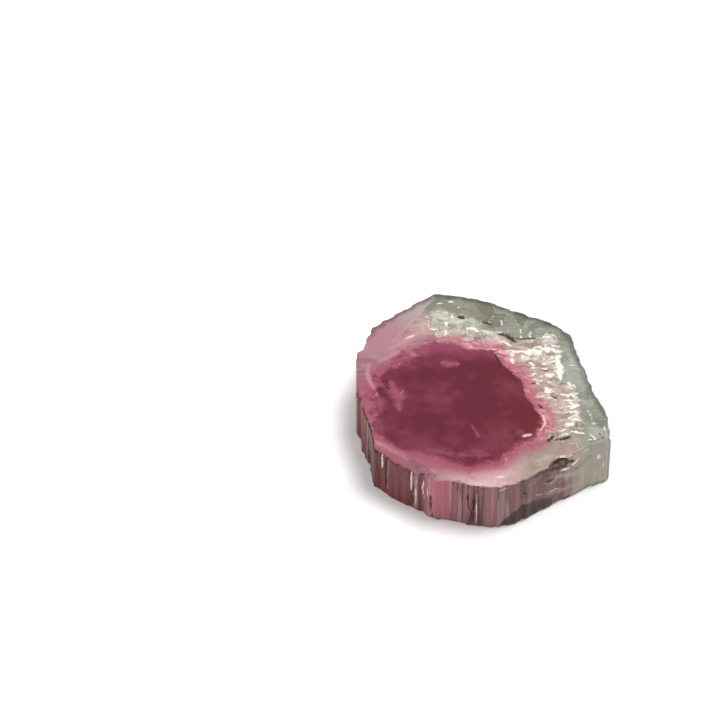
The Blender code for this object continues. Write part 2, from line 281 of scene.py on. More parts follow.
def colour(red, green, blue):
    """Turn a screen colour of 0 to 255 a channel into the linear values that a shader takes."""
    parts = []
    for channel in (red, green, blue):
        part = channel / 255
        parts.append(part / 12.92 if part <= 0.04045 else ((part + 0.055) / 1.055) ** 2.4)
    return tuple(parts)


def colour_property(name, description, shade):
    return FloatVectorProperty(
        name=name, description=description, subtype="COLOR", size=3, min=0, max=1, default=colour(*shade)
    )


def length_property(name, description, millimetres):
    return FloatProperty(
        name=name, description=description, subtype="DISTANCE", unit="LENGTH", precision=5,
        default=millimetres * MM,
    )


class CrystalSettings(bpy.types.PropertyGroup):
    """Sizes of the crystal's fine surface, and the colours of its zones."""

    mesh_step: length_property("Mesh step", "Size of the fine mesh's faces", 0.064)
    plate_depth: length_property("Plate depth", "Depth of the upright plates and grooves of the wall", 0.06)
    shard_depth: length_property("Shard depth", "Depth of the broken belt's small facets", 0.06)
    nick_depth: length_property("Nick depth", "Depth of the small nicks along both sawn edges", 0.04)
    dent_depth: length_property("Dent depth", "Depth of the dents in the worn front edge", 0.10)
    crack_depth: length_property("Crack depth", "Depth of the dark cracks in the upper face", 0.08)
    core_dark: colour_property("Core, dark", "Deep raspberry of the core", (114, 36, 58))
    core_light: colour_property("Core, light", "Lighter raspberry clouds in the core", (176, 88, 114))
    core_red: colour_property("Core, right", "Redder side of the core", (116, 38, 49))
    # Also the pink of the painted glow on the front left wall
    band_pink: colour_property("Pink band", "Pink band just outside the core", (183, 92, 116))
    left_pink: colour_property("Left zone", "Greyish pink of the left side", (160, 106, 119))
    back_mauve: colour_property("Back left plane", "Greyish mauve plane behind the core", (196, 143, 155))
    plane_grey: colour_property("Plane, grey", "Grey of the plane along the green rim", (192, 182, 176))
    beyond_plane: colour_property("Inside the plane", "Pinkish grey between plane and core", (205, 180, 172))
    # Also the pink-white of the painted highlights near the core
    front_pale: colour_property("Front pale zone", "Pinkish white in front of the core", (236, 194, 194))
    front_beige: colour_property("Front beige zone", "Beige of the right front", (184, 160, 147))
    rim_green: colour_property("Rim", "Greyish green of the clear rim", (152, 154, 134))
    rim_light: colour_property("Rim, light", "Lighter green of the clear rim", (190, 194, 180))
    flake_pink: colour_property("Flakes, pink", "Pink of the broken flakes along the core", (180, 92, 112))
    belt_beige: colour_property("Belt, beige", "Beige of the broken belt", (184, 158, 146))
    belt_green: colour_property("Belt, green", "Pale green grey of the belt's outer part", (178, 178, 162))
    # Also the white of the painted highlights on the belt's flakes and ridges and of the glints
    belt_white: colour_property("Belt, white", "White of the brightest facets", (246, 241, 233))
    # The brown of the painted shade in cracks, gaps and dull flakes, also of the darker mottles of the front
    # zone
    crack_shade_brown: colour_property("Cracks", "Dark brown of the open cracks", (52, 24, 21))
    wall_brown: colour_property("Wall, left", "Brownish mauve of the left wall", (108, 50, 51))
    wall_rose: colour_property("Wall, rose", "Rose of the front left wall", (167, 93, 110))
    wall_mauve: colour_property("Wall, front", "Greyish mauve of the front wall", (146, 94, 100))
    wall_pale: colour_property("Wall, front corner", "Pale mauve of the front corner", (166, 124, 126))
    wall_umber: colour_property("Wall, right front", "Brownish mauve right of the corner", (122, 78, 76))
    wall_olive: colour_property("Wall, dark", "Dark olive brown of the wall's shadows", (43, 18, 12))
    wall_green: colour_property("Wall, right", "Greyish green of the right wall", (196, 186, 168))


class StageSettings(bpy.types.PropertyGroup):
    """The studio floor, its lights and the camera."""

    floor_colour: colour_property("Floor", "Colour of the studio floor", (250, 249, 248))
    surround: FloatProperty(
        name="Surround", description="Brightness of the room's soft light", min=0, default=0.42,
    )
    overhead_power: FloatProperty(
        name="Overhead light", description="Power of the soft light above", subtype="POWER", min=0,
        default=1.08,
    )
    side_power: FloatProperty(
        name="Side light", description="Power of the soft light at the front left", subtype="POWER", min=0,
        default=0.44,
    )
    elevation: FloatProperty(
        name="Camera elevation", description="Height of the camera above level", subtype="ANGLE",
        default=math.radians(47),
    )
    distance: FloatProperty(
        name="Camera distance", description="From the camera to the slice", subtype="DISTANCE", unit="LENGTH",
        default=0.2,
    )


def only_select(thing):
    bpy.ops.object.select_all(action="DESELECT")
    thing.select_set(True)
    bpy.context.view_layer.objects.active = thing


def crystal_copy(settings):
    """Copy the solid, join its loose triangles, and give it an even fine mesh."""
    piece = bpy.data.objects.new(PIECE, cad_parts[NODE].data.copy())
    bpy.context.scene.collection.objects.link(piece)
    piece.data.materials.clear()
    only_select(piece)
    bpy.ops.object.mode_set(mode="EDIT")
    bpy.ops.mesh.select_all(action="SELECT")
    bpy.ops.mesh.remove_doubles(threshold=MERGE_GAP)
    bpy.ops.object.mode_set(mode="OBJECT")
    remesh = piece.modifiers.new("Even mesh", "REMESH")
    remesh.mode = "VOXEL"
    remesh.voxel_size = settings.mesh_step
    bpy.ops.object.modifier_apply(modifier=remesh.name)
    return piece


def soften_edges(piece):
    """Round off the sawn and worn edges a little, where the surface is neither level nor upright."""
    level = np.abs(read_points(piece.data)[1][:, 2])
    bpy.ops.object.mode_set(mode="EDIT")
    bpy.ops.mesh.select_mode(type="VERT")
    bpy.ops.mesh.select_all(action="DESELECT")
    bpy.ops.object.mode_set(mode="OBJECT")
    piece.data.vertices.foreach_set("select", (level > UPRIGHT) & (level < LEVEL))
    bpy.ops.object.mode_set(mode="EDIT")
    bpy.ops.mesh.vertices_smooth(factor=0.5, repeat=4)
    bpy.ops.object.mode_set(mode="OBJECT")


def run_distance(points, start, end):
    """Distance in mm from each point to one straight run, and how far along the run that is, 0 to 1."""
    run = np.subtract(end, start)
    offset = points - start
    along = np.clip(offset @ run / (run @ run), 0, 1)
    gap = offset - along[:, None] * run
    return np.hypot(gap[:, 0], gap[:, 1]), along


def edge_distance(points, corners):
    """Distance in mm from each point to a closed outline, positive inside it."""
    nearest = np.full(len(points), np.inf)
    inside = np.zeros(len(points), dtype=bool)
    for start, end in zip(corners, corners[1:] + corners[:1]):
        nearest = np.minimum(nearest, run_distance(points, start, end)[0])
        crosses = (start[1] > points[:, 1]) != (end[1] > points[:, 1])
        slant = (end[0] - start[0]) / (end[1] - start[1]) if end[1] != start[1] else 0
        inside ^= crosses & (points[:, 0] < start[0] + (points[:, 1] - start[1]) * slant)
    return np.where(inside, nearest, -nearest)


def stroke_strength(points, strokes):
    """Strength of the strokes at each point: full along a stroke's middle, 0 off it, thinner to its ends."""
    strength = np.zeros(len(points))
    for places, width, most in strokes.values():
        runs = len(places) - 1
        for index in range(runs):
            distance, along = run_distance(points, places[index], places[index + 1])
            thickness = np.sqrt(1 - ((index + along) / runs * 2 - 1) ** 2 * 0.9)
            share = 1 - distance / (width * 2 * thickness)
            strength = np.maximum(strength, np.clip(share, 0, 1) * most)
    return strength


def smooth_step(values, low, high):
    share = np.clip((values - low) / (high - low), 0, 1)
    return share * share * (3 - 2 * share)


def wall_distance(places, normals):
    """Distance in mm, seen from above, from each point to the nearest point of the wall."""
    wall = np.flatnonzero(np.abs(normals[:, 2]) < 0.5)
    tree = kdtree.KDTree(len(wall))
    for slot, index in enumerate(wall):
        tree.insert((places[index, 0], places[index, 1], 0), slot)
    tree.balance()
    return np.array([tree.find((x, y, 0))[2] for x, y, z in places])


def read_points(mesh):
    places = np.empty(len(mesh.vertices) * 3)
    normals = np.empty(len(mesh.vertices) * 3)
    mesh.vertices.foreach_get("co", places)
    mesh.vertices.foreach_get("normal", normals)
    return places.reshape(-1, 3) / MM, normals.reshape(-1, 3)


def write_attribute(mesh, name, values):
    layer = mesh.attributes.new(name, "FLOAT", "POINT")
    layer.data.foreach_set("value", values.astype(np.float32))


def cell_value(cell, draw):
    """A steady random number of one cell, -1 to 1, another for each draw."""
    return noise.cell(cell * 7.3 + Vector((draw * 41, draw * 17, draw * 5)))


def shard_drop(x, y):
    """Depth of one point of the broken belt, 0 to 1: leaning facets with grooves between them."""
    place = Vector((x * 1.6, y * 3.0, 0))
    place += noise.noise_vector(place * 0.8) * 0.35
    distances, cells = noise.voronoi(place)
    offset = place - cells[0]
    lean = offset.x * cell_value(cells[0], 0) + offset.y * cell_value(cells[0], 1)
    facet = 0.35 + 0.35 * cell_value(cells[0], 2) + lean * 0.9
    groove = 0.15 * max(0.0, 1 - (distances[1] - distances[0]) / 0.12)
    return min(1.0, max(0.0, facet) + groove)


def plate_drop(x, y, z):
    """Depth of one point of the wall, 0 to 1: upright plates, each at its own depth, with fine grooves."""
    plate = noise.voronoi(Vector((x * 1.5, y * 1.5, z * 0.05)))[1][0]
    strip = noise.voronoi(Vector((x * 4.5, y * 4.5, z * 0.09)))[1][0]
    fine = noise.noise(Vector((x * 9.0, y * 9.0, z * 0.25 + 9)))
    rough = noise.noise(Vector((x * 0.9, y * 0.9, 4)))
    depth = 0.45 + 0.3 * cell_value(plate, 0) + 0.2 * cell_value(strip, 1) * (1 + rough) + 0.2 * fine
    return min(1.0, max(0.0, depth))


def nick_drop(x, y, z):
    """Depth of the small nicks along a sawn edge, 0 to 1, shallower at the back."""
    rough = noise.noise(Vector((x * 1.9, y * 1.9, z * 1.9 + 4)))
    small = noise.noise(Vector((x * 6.0, y * 6.0, z * 6.0)))
    depth = min(1.0, max(0.0, rough * 1.6 + small * 0.8 - 0.15))
    return depth * (0.5 if y > 0 else 1.0)


def dent_drop(x, y, z):
    """Depth of the dents and scales of a worn edge, 0 to 1."""
    scale = noise.voronoi(Vector((x * 2.6, y * 2.6, z * 2.0)))[1][0]
    lump = noise.noise(Vector((x * 3.2, y * 3.2, z * 3.2 + 7)))
    fine = noise.noise(Vector((x * 8.0, y * 8.0, z * 8.0)))
    return min(1.0, max(0.0, 0.5 + 0.3 * cell_value(scale, 4) + 0.5 * lump + 0.3 * fine))


def shape_surface(piece, settings):
    """Cut the fine grooves, facets and nicks into the mesh, and note how far each point is from each zone and
    where the painted highlights, glow and shade fall.
    """
    noise.seed_set(FACET_SEED)
    mesh = piece.data
    places, normals = read_points(mesh)
    flat = places[:, :2].copy()
    upright = places[:, ::2].copy()
    core = edge_distance(flat, CORE_EDGE)
    belt = edge_distance(flat, BELT_EDGE)
    plane = edge_distance(flat, PLANE_EDGE)
    rim = wall_distance(places, normals)
    on_wall = smooth_step(-np.abs(normals[:, 2]), -0.75, -0.4)
    on_top = smooth_step(normals[:, 2], 0.6, 0.9) * smooth_step(places[:, 2], TOP - 0.45, TOP - 0.2)
    on_front = on_wall * (places[:, 1] < -1.0)
    cracks = stroke_strength(flat, FACE_CRACKS) * on_top
    glints = stroke_strength(flat, FACE_GLINTS) * on_top + stroke_strength(upright, WALL_GLINTS) * on_front
    broken = smooth_step(belt, -0.15, 0.25) * smooth_step(-core, -0.05, 0.3) * on_top
    to_edge = np.minimum(np.abs(places[:, 2]), np.abs(places[:, 2] - TOP))
    at_edge = smooth_step(-to_edge, -0.22, -0.05) * smooth_step(-rim, -0.22, -0.05)
    slant = (TOP - places[:, 2]) * 0.15
    # Where the painted pink glow of the front left wall falls
    glow = smooth_step(places[:, 0] - slant, -2.7, -2.4) * smooth_step(-places[:, 0], 1.5, 1.8) * on_front
    plated = on_wall * (1 - 0.75 * smooth_step(plane, -0.6, 0.0)) * (1 - 0.75 * glow)
    leaning = smooth_step(normals[:, 2], 0.10, 0.35) * smooth_step(-normals[:, 2], -LEVEL, -0.90)
    worn = leaning * smooth_step(places[:, 2], TOP - 1.1, TOP - 0.8) * (places[:, 1] < 0)
    moves = np.zeros_like(places)
    moves[:, 2] -= cracks * settings.crack_depth / MM
    for index, (x, y, z) in enumerate(places):
        if broken[index] > 0:
            moves[index, 2] -= broken[index] * settings.shard_depth / MM * shard_drop(x, y)
        if plated[index] > 0:
            depth = plated[index] * settings.plate_depth / MM * plate_drop(x, y, z)
            moves[index, :2] -= normals[index, :2] * depth
        if at_edge[index] > 0:
            moves[index] -= normals[index] * at_edge[index] * settings.nick_depth / MM * nick_drop(x, y, z)
        if worn[index] > 0:
            moves[index] -= normals[index] * worn[index] * settings.dent_depth / MM * dent_drop(x, y, z)
    places += moves
    places[:, 2] = np.clip(places[:, 2], FACE_GAP, TOP - FACE_GAP)
    mesh.vertices.foreach_set("co", (places * MM).ravel())
    # Among these marks, glint holds the painted highlights, glow the painted glow on the front left wall, the
    # crack mark the painted shade of the cracks and of the front wall's shadows, and wedge a painted inner
    # shadow
    fields = {
        "core": core, "belt": belt, "plane": plane, "rim": rim,
        "wall": on_wall, "glow": glow, "glint": glints,
        "crack": cracks + stroke_strength(upright, WALL_SHADOWS) * on_front,
        "veil": stroke_strength(flat, FACE_VEILS) * on_top,
        "wedge": smooth_step(edge_distance(upright, WALL_WEDGE), -0.05, 0.10) * on_front,
    }
    for name, values in fields.items():
        write_attribute(mesh, name, values)
    mesh.update()
    only_select(piece)
    bpy.ops.object.shade_smooth_by_angle(angle=SHARPEST_SMOOTH)


class Socket:
    """A number or vector that runs through the material, for use in Python expressions."""

    def __init__(self, nodes, link):
        self.nodes = nodes
        self.link = link

    def __add__(self, other):
        return self.nodes.math("ADD", self, other)

    def __sub__(self, other):
        return self.nodes.math("SUBTRACT", self, other)

    def __rsub__(self, other):
        return self.nodes.math("SUBTRACT", other, self)

    def __mul__(self, other):
        return self.nodes.math("MULTIPLY", self, other)

    def __truediv__(self, other):
        return self.nodes.math("DIVIDE", self, other)

    def __neg__(self):
        return self * -1

    __radd__ = __add__
    __rmul__ = __mul__


class Nodes:
    """Makes the nodes of one material."""

    def __init__(self, tree):
        self.tree = tree

    def add(self, kind, settings=None, inputs=None, output=0):
        """Make a node of a kind, set its settings, fill its sockets, and give one of its outputs."""
        node = self.tree.nodes.new(kind)
        for name, value in (settings or {}).items():
            if name == "stops":
                stops = node.color_ramp.elements
                while len(stops) < len(value):
                    stops.new(0.5)
                for stop, (place, shade) in zip(stops, value):
                    stop.position = place
                    stop.color = (*shade, 1)
            else:
                setattr(node, name, value)
        for name, value in (inputs or {}).items():
            if isinstance(value, Socket):
                self.tree.links.new(value.link, node.inputs[name])
            else:
                node.inputs[name].default_value = value
        return Socket(self, node.outputs[output])

    def math(self, operation, *values):
        return self.add("ShaderNodeMath", {"operation": operation}, dict(enumerate(values)))

    def step(self, value, low, high):
        """Rise smoothly from 0 at low to 1 at high."""
        settings = {"interpolation_type": "SMOOTHSTEP"}
        inputs = {"Value": value, "From Min": low, "From Max": high}
        return self.add("ShaderNodeMapRange", settings, inputs)

    def blend(self, share, first, second):
        """Go from the first colour to the second as the share rises from 0 to 1."""
        # A Mix node set to colours takes them at its sockets 6 and 7, and gives the colour at its output 2
        inputs = {}
        for name, value in ((0, share), (6, first), (7, second)):
            inputs[name] = value if isinstance(value, Socket) or name == 0 else (*value, 1)
        return self.add("ShaderNodeMix", {"data_type": "RGBA"}, inputs, output=2)

    def noise(self, vector, scale, detail=3.0, roughness=0.55):
        inputs = {"Vector": vector, "Scale": scale, "Detail": detail, "Roughness": roughness}
        return self.add("ShaderNodeTexNoise", None, inputs)

    def stretch(self, vector, factors, turn=0.0):
        inputs = {"Vector": vector, "Scale": factors, "Rotation": (0, 0, turn)}
        return self.add("ShaderNodeMapping", None, inputs)

    def cells(self, vector, scale, feature="F1", output="Color"):
        inputs = {"Vector": vector, "Scale": scale}
        return self.add("ShaderNodeTexVoronoi", {"feature": feature}, inputs, output)

    def cell_tone(self, vector, scale):
        """Give each cell one tone of its own, 0 to 1."""
        return self.add("ShaderNodeSeparateColor", None, {0: self.cells(vector, scale)})

    def cell_edge(self, vector, scale):
        """Give the distance to the nearest edge between two cells."""
        return self.cells(vector, scale, "DISTANCE_TO_EDGE", "Distance")


def broken_flakes(nodes, place):
    """The painted light and shade of each broken flake of the belt, 0 to 1, and the distance to the flake's
    edge.
    """
    shake = nodes.add("ShaderNodeTexNoise", None, {"Vector": place, "Scale": 1.5, "Detail": 1.0}, "Color")
    inputs = {0: shake, 1: (0.6, 0.6, 0), 2: place}
    shaken = nodes.add("ShaderNodeVectorMath", {"operation": "MULTIPLY_ADD"}, inputs)
    flat = nodes.stretch(shaken, (0.75, 1.4, 0.2))
    bright = nodes.cell_tone(flat, 2.2) * 0.45 + nodes.cell_tone(flat, 5.0) * 0.55
    return bright, nodes.cell_edge(flat, 5.0)


def belt_colour(nodes, place, fields, flakes, settings):
    """Colour of the broken belt: beige, greener outwards, with painted highlights on its flakes and ridges
    and painted shade on dull flakes and in the gaps.
    """
    x, y, belt = (fields[name] for name in ("x", "y", "belt"))
    bright, edge = flakes
    patch = nodes.noise(place, 2.2, 3.0)
    outward = (1 - nodes.step(belt, 0.1, 1.1)) * 0.6 + nodes.step(y - x * 0.5, 2.4, 4.0) * 0.6
    calm = nodes.step(-y, 0.3, 0.9) * nodes.step(-x, -3.9, -3.5) * 0.8
    crowded = nodes.step(nodes.noise(place, 0.9, 2.0), 0.35, 0.55)
    busy = (1 - calm) * crowded * nodes.step(x - y * 0.3, -2.6, 0.6)
    shade = nodes.blend(outward, settings.belt_beige, settings.belt_green)
    # Painted shade on the dull flakes and painted highlights on the bright ones
    dull = nodes.step(-bright, -0.42, -0.15) * (1 - calm * 0.6)
    shade = nodes.blend(dull * 0.35, shade, settings.crack_shade_brown)
    shine = nodes.step(bright, 0.45, 0.75) * (1 - calm * 0.5) * 0.35
    shine = shine + nodes.step(bright, 0.66, 0.69) * busy * 0.65
    shade = nodes.blend(shine, shade, settings.belt_white)
    # Painted highlights along some flake edges, and painted shade in the gaps between flakes
    ridge = (1 - nodes.step(edge, 0.01, 0.05)) * nodes.step(patch, 0.53, 0.60) * (1 - calm)
    shade = nodes.blend(ridge * 0.7, shade, settings.belt_white)
    gap = (1 - nodes.step(edge, 0.01, 0.07)) * nodes.step(-patch, -0.48, -0.42)
    return nodes.blend(gap * 0.5, shade, settings.crack_shade_brown)


def rim_colour(nodes, place, fields, mottle, settings):
    """Colour of the clear rim: olive at the back, lighter to the right, with facets and fine streaks."""
    y = fields["y"]
    light = nodes.step(-y + (mottle - 0.5) * 3.0, -5.2, -1.5) * (1 - nodes.step(-y, -0.3, 1.8) * 0.6)
    green = nodes.blend(light, settings.rim_green, settings.rim_light)
    flat = nodes.stretch(place, (0.8, 1.2, 0.2), 0.5)
    facet = nodes.cell_tone(flat, 1.4)
    edge = nodes.cell_edge(flat, 1.4)
    green = nodes.blend(nodes.step(facet, 0.5, 1.0) * 0.18, green, settings.belt_white)
    green = nodes.blend(nodes.step(-facet, -0.5, 0.0) * 0.18, green, settings.wall_olive)
    line = (1 - nodes.step(edge, 0.01, 0.05)) * nodes.step(mottle, 0.50, 0.58)
    green = nodes.blend(line * 0.25, green, settings.belt_white)
    streaks = nodes.noise(nodes.stretch(place, (0.6, 1.6, 1.0)), 3.2, 4.0, 0.65)
    green = nodes.blend(nodes.step(streaks, 0.58, 0.66) * 0.25, green, settings.belt_white)
    return nodes.blend(nodes.step(-streaks, -0.42, -0.34) * 0.25, green, settings.wall_olive)


def face_colour(nodes, place, fields, settings):
    """Colour of the cut faces: core, pink band, pale front, silvery belt and green rim, with a painted dark
    shade along the outer edges.
    """
    x, y, core, belt, rim = (fields[name] for name in ("x", "y", "core", "belt", "rim"))
    cloud = nodes.noise(place, 0.45, 3.0)
    mottle = nodes.noise(place, 1.7, 4.0, 0.6)
    grain = nodes.noise(place, 6.5, 3.0, 0.6)
    side = nodes.step(x * 0.75 + y * 0.55, -1.2, 2.2)
    rough_edge = (mottle - 0.5) * 0.8 + (grain - 0.5) * 0.5
    flakes = broken_flakes(nodes, place)

    left = nodes.blend(nodes.step(y + x * 0.2, -0.8, 1.2) * 0.75, settings.left_pink, settings.back_mauve)
    outer = nodes.blend(nodes.step(x * 0.75 + y * 0.65, -0.8, 1.0), left, settings.beyond_plane)
    grown = nodes.noise(nodes.stretch(place, (0.6, 1.8, 1.0), -0.9), 2.6, 4.0, 0.65)
    outer = nodes.blend(nodes.step(grown, 0.52, 0.64) * 0.3, outer, settings.front_pale)
    outer = nodes.blend(nodes.step(-grown, -0.46, -0.36) * 0.25, outer, settings.core_dark)
    back = nodes.step(x + y + (mottle - 0.5) * 0.6, 1.6, 2.8)
    right = nodes.step(x * 0.8 + y * 0.35 + (mottle - 0.5) * 0.6, 1.6, 2.8)
    green = rim_colour(nodes, place, fields, mottle, settings)
    outer = nodes.blend(nodes.math("MAXIMUM", back, right), outer, green)
    smooth = nodes.blend(nodes.step(x * 0.8 + y * 0.6, -1.4, 0.9), settings.back_mauve, settings.plane_grey)
    crisp = nodes.step(x, -4.8, -3.6)
    outer = nodes.blend(nodes.step(fields["plane"] / (0.6 - crisp * 0.54), -0.8, 0.8), outer, smooth)
    seam = (1 - nodes.step(nodes.math("ABSOLUTE", fields["plane"]), 0.02, 0.10)) * 0.3 * crisp
    outer = nodes.blend(seam, outer, settings.front_pale)

    front = nodes.blend(nodes.step(x + (mottle - 0.5), 0.5, 2.4), settings.front_pale, settings.front_beige)
    front = nodes.blend(nodes.step(mottle, 0.50, 0.62) * 0.2, front, settings.belt_white)
    front = nodes.blend(nodes.step(-mottle, -0.48, -0.38) * 0.15, front, settings.crack_shade_brown)
    in_front = nodes.step(-y + x * 0.12, 2.6, 4.3) * nodes.step(x, -2.8, -0.6) * nodes.step(-x, -5.0, -3.2)
    outer = nodes.blend(in_front, outer, front)

    in_belt = nodes.step(belt + rough_edge, -0.1, 0.2)
    outer = nodes.blend(in_belt, outer, belt_colour(nodes, place, fields, flakes, settings))

    back_left = nodes.step(y, 0.6, 2.0) * (1 - side)
    band = nodes.step(core + rough_edge * 0.8 - back_left * 0.4, -1.15, -0.05) * (1 - side * 0.55)
    outer = nodes.blend(band, outer, settings.band_pink)
    flaky = nodes.math("MAXIMUM", nodes.step(side, 0.3, 0.7), nodes.step(x * 0.75 + y * 0.2, 0.2, 1.2))
    near = (1 - nodes.step(-core + (mottle - 0.5) * 0.9, 0.20, 0.75)) * flaky
    bright, edge = flakes
    # Pink flakes along the core, with painted highlights on the brighter flakes and along their edges
    pink = nodes.blend(nodes.step(bright, 0.50, 0.75) * 0.35, settings.flake_pink, settings.front_pale)
    pink = nodes.blend((1 - nodes.step(edge, 0.01, 0.06)) * 0.35, pink, settings.front_pale)
    outer = nodes.blend(near * 0.9, outer, pink)
    pale = nodes.blend(nodes.step(x + y * 0.4, -2.0, 0.5), settings.front_pale, settings.belt_white)
    outer = nodes.blend(nodes.step(fields["veil"] + rough_edge * 0.3, 0.0, 1.0) * 0.8, outer, pale)

    deep = nodes.blend(nodes.step(x + cloud * 2.0, 0.2, 3.2), settings.core_dark, settings.core_red)
    deep = nodes.blend(nodes.step(cloud * 0.7 + mottle * 0.3, 0.42, 0.66) * 0.35, deep, settings.core_light)
    deep = nodes.blend(nodes.step(y + mottle, 2.0, 3.4) * 0.6, deep, settings.core_light)
    frayed = (mottle - 0.5) * nodes.step(fields["veil"], 0.0, 0.3) * 1.6
    inner_veil = fields["veil"] * (0.4 + grain * 1.2) + frayed
    deep = nodes.blend(nodes.step(inner_veil, 0.0, 0.9), deep, settings.core_light)
    soft = 0.75 - side * 0.62
    far_left = nodes.step(-x + y * 0.5, 2.4, 4.0)
    inside = core + 0.15 * (1 - side) + rough_edge * (0.8 - side * 0.5) + (mottle - 0.5) * far_left * 1.6
    shade = nodes.blend(nodes.step(inside / soft, 0.0, 0.55), outer, deep)
    # Painted shade: a dark line along the back and right outer edges of the cut face
    outline = (1 - nodes.step(rim + (mottle - 0.5) * 0.3, 0.04, 0.42)) * nodes.step(y + x * 0.5, 0.0, 1.5)
    return nodes.blend(outline * 0.62, shade, settings.wall_olive)


def wall_colour(nodes, place, fields, settings):
    """Colour of the natural wall: upright plates, each of its own tone, which show the zones behind them,
    with painted glow and painted shade.
    """
    x, y, z = (fields[name] for name in ("x", "y", "z"))
    upright = nodes.stretch(place, (1.0, 1.0, 0.05))
    plate = nodes.cell_tone(upright, 1.5)
    plate_edge = nodes.cell_edge(upright, 1.5)
    strip = nodes.cell_tone(nodes.stretch(place, (1.0, 1.0, 0.02)), 4.5)
    lines = nodes.noise(nodes.stretch(place, (1.0, 1.0, 0.06)), 8.0, 3.0, 0.6)
    veil = nodes.noise(nodes.stretch(place, (0.8, 0.8, 1.3)), 1.1, 4.0, 0.6)
    left = 1 - nodes.step(x, 1.0, 3.0)
    # How far along the slice's 12 mm of width a point of the front wall is, from 0 at the left to 1
    along = (x + (plate - 0.5) * left * 0.5 + (veil - 0.5) * (1 - left) * 3.0 + 6) / 12
    stops = [
        (0.24, settings.wall_brown), (0.275, settings.wall_brown), (0.295, settings.wall_rose),
        (0.36, settings.wall_rose), (0.385, settings.wall_mauve), (0.53, settings.wall_mauve),
        (0.565, settings.wall_pale), (0.59, settings.wall_pale), (0.625, settings.wall_umber),
        (0.78, settings.wall_umber), (0.90, settings.wall_green), (1.0, settings.wall_green),
    ]
    front = nodes.add("ShaderNodeValToRGB", {"stops": stops}, {"Fac": along})
    behind = nodes.blend(nodes.step(x, -3.5, 0.5), settings.back_mauve, settings.rim_green)
    shade = nodes.blend(nodes.step(y, -0.5, 2.5), front, behind)
    # Painted shade: a dark band under the top edge of the right front wall
    shade_under_edge = nodes.step(z + (veil - 0.5) * 1.5, 1.9, 2.6)
    shade_under_edge = shade_under_edge * nodes.step(x, 1.4, 2.2) * nodes.step(-x, -4.3, -3.4)
    shade = nodes.blend(shade_under_edge * 0.55, shade, settings.wall_olive)
    corner = nodes.step(z, 1.7, 2.9) * nodes.step(x, 4.0, 5.0) * (1 - nodes.step(y, -2.5, 1.0))
    shade = nodes.blend(corner * 0.5, shade, settings.rim_light)
    glow = fields["glow"]
    # Painted glow: the pink of the face lights the front left wall, brightest near its top
    shade = nodes.blend(glow * nodes.step(z, 0.6, 2.9) * 0.5, shade, settings.band_pink)
    dark = nodes.step(-plate, -0.7, 0.0) * 0.35 + nodes.step(-strip, -0.3, -0.1) * 0.3
    dark = dark + (1 - nodes.step(plate_edge, 0.02, 0.09)) * 0.4 + nodes.step(-lines, -0.45, -0.35) * 0.15
    shade = nodes.blend(dark * (left * 0.75 + 0.15) * (1 - glow * 0.9), shade, settings.wall_olive)
    pale = nodes.step(strip, 0.82, 0.9) * 0.2 + nodes.step(lines, 0.60, 0.68) * 0.08
    shade = nodes.blend(pale * (left * 0.8 + 0.2) * (1 - glow), shade, settings.front_pale)
    shade = nodes.blend(nodes.step(veil, 0.52, 0.66) * (1 - left) * 0.45, shade, settings.front_beige)
    # Painted shade along the foot of the front wall and in the dark inner shadow at the foot of its right
    # part
    foot = (1 - nodes.step(z, 0.03, 0.22)) * (1 - nodes.step(y, -2.0, 1.0)) * 0.7
    return nodes.blend(nodes.math("MAXIMUM", foot, fields["wedge"] * 0.9), shade, settings.wall_olive)


